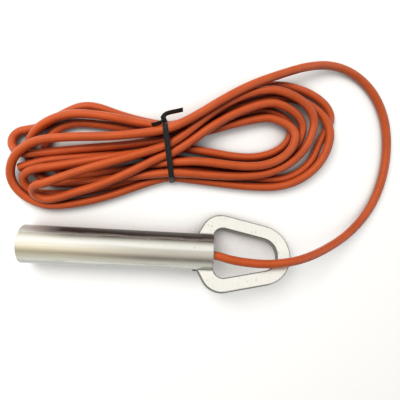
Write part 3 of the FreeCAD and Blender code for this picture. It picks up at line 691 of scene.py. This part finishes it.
class TILT_OT_cut_cable_end(bpy.types.Operator):
    """Add the two cores and the filler that show at the cable's cut end"""
    bl_idname = "tilt_look.cut_cable_end"
    bl_label = "Cut cable end"

    def execute(self, context):
        settings = context.scene.tilt_look.cable
        points = laid_points()
        heading = Vector(points[-1] - points[-2]).normalized()
        turn = heading.to_track_quat("Z", "Y").to_matrix().to_4x4()
        place = Matrix.Translation(points[-1]) @ turn
        shape = bmesh.new()
        core = settings.core / 2
        aside = core * CORE_ASIDE
        copper = core * COPPER_SHARE
        studs = [
            (settings.diameter * FILLER_SHARE, 0.0, FILLER_PROUD, 0, 28),
            (core, -aside, CORE_PROUD, 1, 16),
            (core, aside, CORE_PROUD, 2, 16),
            (copper, -aside, COPPER_PROUD, 3, 12),
            (copper, aside, COPPER_PROUD, 3, 12),
        ]
        for radius, offset, proud, finish, sides in studs:
            depth = proud + CUT_DEPTH
            where = place @ Matrix.Translation((offset, 0.0, proud - depth / 2))
            made = bmesh.ops.create_cone(shape, cap_ends=True, segments=sides, radius1=radius,
                                         radius2=radius * CUT_TAPER, depth=depth, matrix=where)
            faces = {face for vert in made["verts"] for face in vert.link_faces}
            for face in faces:
                face.material_index = finish
                face.smooth = len(face.verts) == 4
        mesh = bpy.data.meshes.new("cable_end")
        shape.to_mesh(mesh)
        shape.free()
        end = new_piece("cable_end", mesh,
                        moulded("cable_filler", (0.30, 0.27, 0.23), (0.22, 0.19, 0.16), 0.8),
                        moulded("core_brown", (0.16, 0.06, 0.03), (0.12, 0.045, 0.025), 0.45),
                        moulded("core_blue", (0.035, 0.09, 0.32), (0.03, 0.07, 0.25), 0.45),
                        moulded("core_copper", (0.80, 0.42, 0.26), (0.62, 0.30, 0.18), 0.35, metallic=1.0))
        return {"FINISHED"}


def hull(places):
    """Convex outline of points in a plane, anticlockwise."""
    ordered = sorted(places)
    chains = []
    for row in (ordered, ordered[::-1]):
        chain = []
        for p in row:
            while len(chain) > 1 and ((chain[-1][0] - chain[-2][0]) * (p[1] - chain[-2][1])
                                      <= (chain[-1][1] - chain[-2][1]) * (p[0] - chain[-2][0])):
                chain.pop()
            chain.append(p)
        chains.append(chain[:-1])
    return chains[0] + chains[1]


def ribbon_tree(material):
    """Geometry nodes: a flat band with a covered wire along its middle, swept along a path of edges."""
    tree = bpy.data.node_groups.new("tie_ribbon", "GeometryNodeTree")
    face = tree.interface
    face.new_socket("Path", in_out="INPUT", socket_type="NodeSocketGeometry")
    for name in ("Width", "Thickness", "Wire"):
        face.new_socket(name, in_out="INPUT", socket_type="NodeSocketFloat")
    face.new_socket("Ribbon", in_out="OUTPUT", socket_type="NodeSocketGeometry")
    start = tree.nodes.new("NodeGroupInput")
    end = tree.nodes.new("NodeGroupOutput")
    line = tree.nodes.new("GeometryNodeMeshToCurve")
    facing = add_node(tree, "GeometryNodeInputNamedAttribute", Name="facing")
    facing.data_type = "FLOAT_VECTOR"
    turned = tree.nodes.new("GeometryNodeSetCurveNormal")
    turned.mode = "FREE"
    band = tree.nodes.new("GeometryNodeCurvePrimitiveQuadrilateral")
    eased = tree.nodes.new("GeometryNodeFilletCurve")
    eased.mode = "POLY"
    eased.inputs["Count"].default_value = 3
    eased.inputs["Radius"].default_value = 0.0002
    eased.inputs["Limit Radius"].default_value = True
    wire = add_node(tree, "GeometryNodeCurvePrimitiveCircle", Resolution=12)
    wings = add_node(tree, "GeometryNodeCurveToMesh", Fill_Caps=True)
    core = add_node(tree, "GeometryNodeCurveToMesh", Fill_Caps=True)
    both = tree.nodes.new("GeometryNodeJoinGeometry")
    real = tree.nodes.new("GeometryNodeRealizeInstances")
    coloured = add_node(tree, "GeometryNodeSetMaterial", Material=material)
    link = tree.links.new
    link(start.outputs["Path"], line.inputs["Mesh"])
    link(line.outputs["Curve"], turned.inputs["Curve"])
    link(facing.outputs["Attribute"], turned.inputs["Normal"])
    link(start.outputs["Thickness"], band.inputs["Width"])
    link(start.outputs["Width"], band.inputs["Height"])
    link(band.outputs["Curve"], eased.inputs["Curve"])
    link(maths(tree, "MULTIPLY", start.outputs["Wire"], 0.5), wire.inputs["Radius"])
    link(turned.outputs["Curve"], wings.inputs["Curve"])
    link(eased.outputs["Curve"], wings.inputs["Profile Curve"])
    link(turned.outputs["Curve"], core.inputs["Curve"])
    link(wire.outputs["Curve"], core.inputs["Profile Curve"])
    link(wings.outputs["Mesh"], both.inputs["Geometry"])
    link(core.outputs["Mesh"], both.inputs["Geometry"])
    link(both.outputs["Geometry"], real.inputs["Geometry"])
    link(real.outputs["Geometry"], coloured.inputs["Geometry"])
    link(coloured.outputs["Geometry"], end.inputs["Ribbon"])
    return tree


def tie_path(diameter, thickness):
    """Places along the tie and the way its flat side faces: tail, round the bundle, stub."""
    points = laid_points()
    line = spline_weights(len(points), LINE_SAMPLES) @ points
    top, foot = Vector((*TIE_TOP, 0.0)) * MM, Vector((*TIE_FOOT, 0.0)) * MM
    down = (foot - top).normalized()
    across = Vector((-down.y, down.x, 0.0))
    offsets = (line - np.array(top)) @ np.array(across)
    passes = []
    for index in np.nonzero(np.diff(np.sign(offsets)))[0]:
        middle = Vector((line[index] + line[index + 1]) / 2) - top
        if abs(middle.dot(down)) < TIE_SPAN:
            passes.append((middle.dot(down), middle.z))
    reach = diameter / 2 + thickness
    rims = [(s + reach * math.cos(a), max(z + reach * math.sin(a), thickness))
            for s, z in passes for a in np.linspace(0.0, 2 * math.pi, RIM_POINTS, endpoint=False)]
    outline = hull(rims)
    knot = max(range(len(outline)), key=lambda k: outline[k][1] - KNOT_PULL * outline[k][0])
    outline = outline[knot:] + outline[:knot + 1]
    middle = (sum(s for s, z in outline) / len(outline), sum(z for s, z in outline) / len(outline))
    path = [(Vector(place) * MM, TAIL_FACING) for place in TIE_TAIL]
    for s, z in outline:
        away = down * (s - middle[0]) + Vector((0.0, 0.0, z - middle[1]))
        path.append((top + down * s + Vector((0.0, 0.0, z)), away.normalized()))
    path += [(Vector(place) * MM, STUB_FACING) for place in TIE_STUB]
    return path


class TILT_OT_wrap_tie(bpy.types.Operator):
    bl_idname = "tilt_look.wrap_tie"
    bl_label = "Wrap tie"

    def execute(self, context):
        look = context.scene.tilt_look
        settings = look.tie
        path = tie_path(look.cable.diameter, settings.thickness)
        mesh = bpy.data.meshes.new("twist_tie_path")
        mesh.from_pydata([place for place, facing in path], [(k, k + 1) for k in range(len(path) - 1)], [])
        facing = mesh.attributes.new("facing", "FLOAT_VECTOR", "POINT")
        for item, (place, way) in zip(facing.data, path):
            item.vector = way
        tie = bpy.data.objects.new("twist_tie_band", mesh)
        context.scene.collection.objects.link(tie)
        tree = ribbon_tree(tie_material(settings))
        ribbon = tie.modifiers.new("ribbon", "NODES")
        ribbon.node_group = tree
        sizes = {"Width": settings.width, "Thickness": settings.thickness, "Wire": settings.wire}
        for name, size in sizes.items():
            ribbon[tree.interface.items_tree[name].identifier] = size
        made = bpy.data.meshes.new_from_object(tie.evaluated_get(context.evaluated_depsgraph_get()))
        tie.modifiers.remove(ribbon)
        tie.data = made
        bpy.data.meshes.remove(mesh)
        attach(tie, PROBE)
        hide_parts("twist_tie")
        return {"FINISHED"}


def dress(node, material):
    """Puts a material on a CAD node."""
    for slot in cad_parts[node].material_slots:
        slot.material = material


class TILT_OT_finish_metal(bpy.types.Operator):
    """Give the pipe, its plug and its eye their plated finishes"""
    bl_idname = "tilt_look.finish_metal"
    bl_label = "Finish metal"

    def execute(self, context):
        settings = context.scene.tilt_look.metal
        dress("body_tube", pipe_material(settings))
        dress("end_plug", moulded("zinc_plug", (0.70, 0.69, 0.65), (0.56, 0.55, 0.51), 0.38, metallic=1.0))
        dress("hanger_eye", eye_material(settings))
        return {"FINISHED"}


class TILT_OT_finish_inside(bpy.types.Operator):
    """Give the sealed capsule, its wiring and the resin their finishes"""
    bl_idname = "tilt_look.finish_inside"
    bl_label = "Finish inside"

    def execute(self, context):
        sleeve = moulded("shrink_sleeve", (0.03, 0.03, 0.03), (0.05, 0.05, 0.05), 0.5)
        crimp = moulded("crimp_tin", (0.68, 0.67, 0.65), (0.55, 0.54, 0.52), 0.35, metallic=1.0)
        finishes = {
            "potting_plug": moulded("potting", (0.022, 0.021, 0.022), (0.045, 0.043, 0.042), 0.42,
                                    scale=260.0),
            "cable_inner": bpy.data.materials["cable_jacket"],
            "core_signal": bpy.data.materials["core_brown"],
            "core_return": bpy.data.materials["core_blue"],
            "crimp_signal": crimp,
            "crimp_return": crimp,
            "sleeve_signal": sleeve,
            "sleeve_return": sleeve,
            "lead_can": bpy.data.materials["core_brown"],
            "lead_pin": bpy.data.materials["core_blue"],
            "switch_holder": moulded("holder_nylon", (0.78, 0.76, 0.70), (0.66, 0.64, 0.58), 0.48),
            "capsule_can": moulded("can_nickel", (0.70, 0.67, 0.62), (0.60, 0.57, 0.52), 0.24, metallic=1.0,
                                   stretch=(0.05, 1.0, 1.0)),
            "capsule_header": moulded("header_resin", (0.10, 0.07, 0.05), (0.14, 0.10, 0.07), 0.45),
            "contact_pin": moulded("contact_brass", (0.80, 0.58, 0.25), (0.66, 0.45, 0.18), 0.25,
                                   metallic=1.0),
            "buffer_pad": moulded("buffer_rubber", (0.03, 0.03, 0.03), (0.05, 0.05, 0.05), 0.75),
            "tilt_ball": moulded("ball_steel", (0.78, 0.78, 0.78), (0.72, 0.72, 0.73), 0.12, metallic=1.0),
        }
        for node, material in finishes.items():
            dress(node, material)
        return {"FINISHED"}


def floor_material(settings):
    """Pale matte paper, lifted to white where the camera or a mirror surface sees it, with painted
    shade in the nooks under and round the probe.
    """
    material, tree, shader = new_material("floor_paper")
    path = tree.nodes.new("ShaderNodeLightPath")
    # Painted shade: where the probe and its turns close in, the floor darkens to a warm brown.
    clear = openness(tree, 0.040)
    paper = mix_colours(tree, spread(tree, clear, 0.10, 0.70), settings.floor_painted_shade, settings.floor_colour)
    paper = mix_colours(tree, path.outputs["Is Diffuse Ray"], paper, settings.bounce_colour)
    tree.links.new(paper, shader.inputs["Base Color"])
    shader.inputs["Roughness"].default_value = 0.85
    shader.inputs["Specular IOR Level"].default_value = 0.15
    seen = maths(tree, "ADD", path.outputs["Is Camera Ray"], path.outputs["Is Glossy Ray"])
    seen = maths(tree, "ADD", seen, path.outputs["Is Transmission Ray"])
    place = tree.nodes.new("ShaderNodeTexCoord")
    away = tree.nodes.new("ShaderNodeVectorMath")
    away.operation = "LENGTH"
    tree.links.new(place.outputs["Object"], away.inputs[0])
    glow = spread(tree, away.outputs["Value"], 0.25, 0.80, settings.floor_glow, 1.0)
    # The lift fades in the nooks too, as part of the painted shade.
    lift = maths(tree, "MULTIPLY", spread(tree, clear, 0.12, 0.88), glow)
    tree.links.new(maths(tree, "MULTIPLY", seen, lift), shader.inputs["Emission Strength"])
    shader.inputs["Emission Color"].default_value = (1.0, 1.0, 1.0, 1.0)
    return material


def ceiling_ramp(tree, angle, stops):
    """Colours of the room from the near horizon over the top to the far one, by degrees from upright."""
    ramp = tree.nodes.new("ShaderNodeValToRGB")
    elements = ramp.color_ramp.elements
    while len(elements) < len(stops):
        elements.new(0.5)
    for element, (degrees, colour) in zip(elements, stops):
        element.position = 0.5 + degrees / 180.0
        element.color = (*colour, 1.0)
    tree.links.new(spread(tree, angle, -math.pi / 2, math.pi / 2), ramp.inputs["Fac"])
    return ramp.outputs["Color"]


def studio_world(strength, fill):
    """A bright ceiling, a dark far wall and a warm near side, all white to the camera."""
    world = bpy.data.worlds.new("studio")
    world.use_nodes = True
    tree = world.node_tree
    light = tree.nodes["Background"]
    place = tree.nodes.new("ShaderNodeTexCoord")
    axes = tree.nodes.new("ShaderNodeSeparateXYZ")
    tree.links.new(place.outputs["Generated"], axes.inputs[0])
    angle = maths(tree, "ARCTAN2", axes.outputs["Y"], axes.outputs["Z"])
    near = [(-80, (0.30, 0.30, 0.25)), (-30, (0.20, 0.17, 0.12)), (-10, (0.40, 0.36, 0.26))]
    left = near + [(15, (0.54, 0.51, 0.43)), (40, (0.57, 0.56, 0.52)), (80, (0.36, 0.34, 0.27))]
    middle = near + [(15, (0.47, 0.45, 0.40)), (40, (0.50, 0.49, 0.47)), (54, (0.38, 0.37, 0.34)),
                     (66, (0.16, 0.15, 0.13)), (80, (0.05, 0.04, 0.035))]
    right = [(-70, (0.25, 0.25, 0.22)), (-40, (0.07, 0.06, 0.05)), (-14, (0.25, 0.23, 0.20)),
             (10, (0.29, 0.28, 0.24)), (34, (0.47, 0.46, 0.44)), (58, (0.32, 0.31, 0.28)),
             (80, (0.05, 0.04, 0.03))]
    leftward = spread(tree, axes.outputs["X"], -0.28, -0.37)
    rightward = spread(tree, axes.outputs["X"], -0.27, -0.08)
    colour = mix_colours(tree, leftward, ceiling_ramp(tree, angle, middle), ceiling_ramp(tree, angle, left))
    colour = mix_colours(tree, rightward, colour, ceiling_ramp(tree, angle, right))
    window = spread(tree, axes.outputs["X"], 0.45, 0.60)
    window = maths(tree, "MULTIPLY", window, spread(tree, axes.outputs["Z"], 0.10, 0.25))
    colour = mix_colours(tree, window, colour, (0.50, 0.50, 0.48, 1.0))
    path = tree.nodes.new("ShaderNodeLightPath")
    seen = path.outputs["Is Camera Ray"]
    tree.links.new(mix_colours(tree, seen, colour, (1.0, 1.0, 1.0, 1.0)), light.inputs["Color"])
    level = spread(tree, path.outputs["Is Diffuse Ray"], 0.0, 1.0, strength, fill)
    to_white = maths(tree, "MULTIPLY", seen, 1.0 - strength)
    tree.links.new(maths(tree, "ADD", level, to_white), light.inputs["Strength"])
    return world


class TILT_OT_set_stage(bpy.types.Operator):
    """Set the pale floor, the soft light and the camera above the probe"""
    bl_idname = "tilt_look.set_stage"
    bl_label = "Set stage"

    def execute(self, context):
        settings = context.scene.tilt_look.stage
        scene = context.scene
        scene.view_settings.view_transform = "Standard"
        mesh = bpy.data.meshes.new("floor")
        corners = [(x * FLOOR_REACH, y * FLOOR_REACH, FLOOR_LEVEL)
                   for x, y in ((-1, -1), (1, -1), (1, 1), (-1, 1))]
        mesh.from_pydata(corners, [], [(0, 1, 2, 3)])
        mesh.materials.append(floor_material(settings))
        floor = bpy.data.objects.new("floor", mesh)
        scene.collection.objects.link(floor)
        scene.world = studio_world(settings.room_light, settings.fill_light)

        lamp = bpy.data.lights.new("softbox", "AREA")
        lamp.energy = settings.lamp_power
        lamp.size = LAMP_SIZE
        softbox = bpy.data.objects.new("softbox", lamp)
        softbox.location = LAMP_PLACE
        softbox.rotation_euler = (LAMP_AIM - LAMP_PLACE).to_track_quat("-Z", "Y").to_euler()
        softbox.visible_glossy = False
        scene.collection.objects.link(softbox)

        view = bpy.data.cameras.new("camera")
        view.lens = settings.lens
        view.sensor_width = 36.0
        view.clip_start = 0.01
        camera = bpy.data.objects.new("camera", view)
        camera.location = CAMERA_PLACE
        camera.rotation_euler = [math.radians(angle) for angle in CAMERA_TURN]
        scene.collection.objects.link(camera)
        scene.camera = camera
        return {"FINISHED"}


class TILT_PT_looks(bpy.types.Panel):
    """Lists the steps and the settings that they read"""
    bl_idname = "TILT_PT_looks"
    bl_label = "Tilt Switch"
    bl_space_type = "VIEW_3D"
    bl_region_type = "UI"
    bl_category = "Tilt Switch"

    def draw(self, context):
        look = context.scene.tilt_look
        for step in STEPS:
            self.layout.operator(step.bl_idname)
        for group in (look.cable, look.tie, look.metal, look.stage):
            column = self.layout.column()
            for name in group.__annotations__:
                column.prop(group, name)


STEPS = (TILT_OT_lay_cable, TILT_OT_cut_cable_end, TILT_OT_wrap_tie, TILT_OT_finish_metal,
         TILT_OT_finish_inside, TILT_OT_set_stage)
CLASSES = (CableSettings, TieSettings, MetalSettings, StageSettings, LookSettings, *STEPS, TILT_PT_looks)


def register():
    for item in CLASSES:
        bpy.utils.register_class(item)
    bpy.types.Scene.tilt_look = PointerProperty(type=LookSettings)


def unregister():
    del bpy.types.Scene.tilt_look
    for item in reversed(CLASSES):
        bpy.utils.unregister_class(item)


def main():
    register()
    bpy.ops.tilt_look.lay_cable()
    bpy.ops.tilt_look.cut_cable_end()
    bpy.ops.tilt_look.wrap_tie()
    bpy.ops.tilt_look.finish_metal()
    bpy.ops.tilt_look.finish_inside()
    bpy.ops.tilt_look.set_stage()


if __name__ == "__main__":
    main()
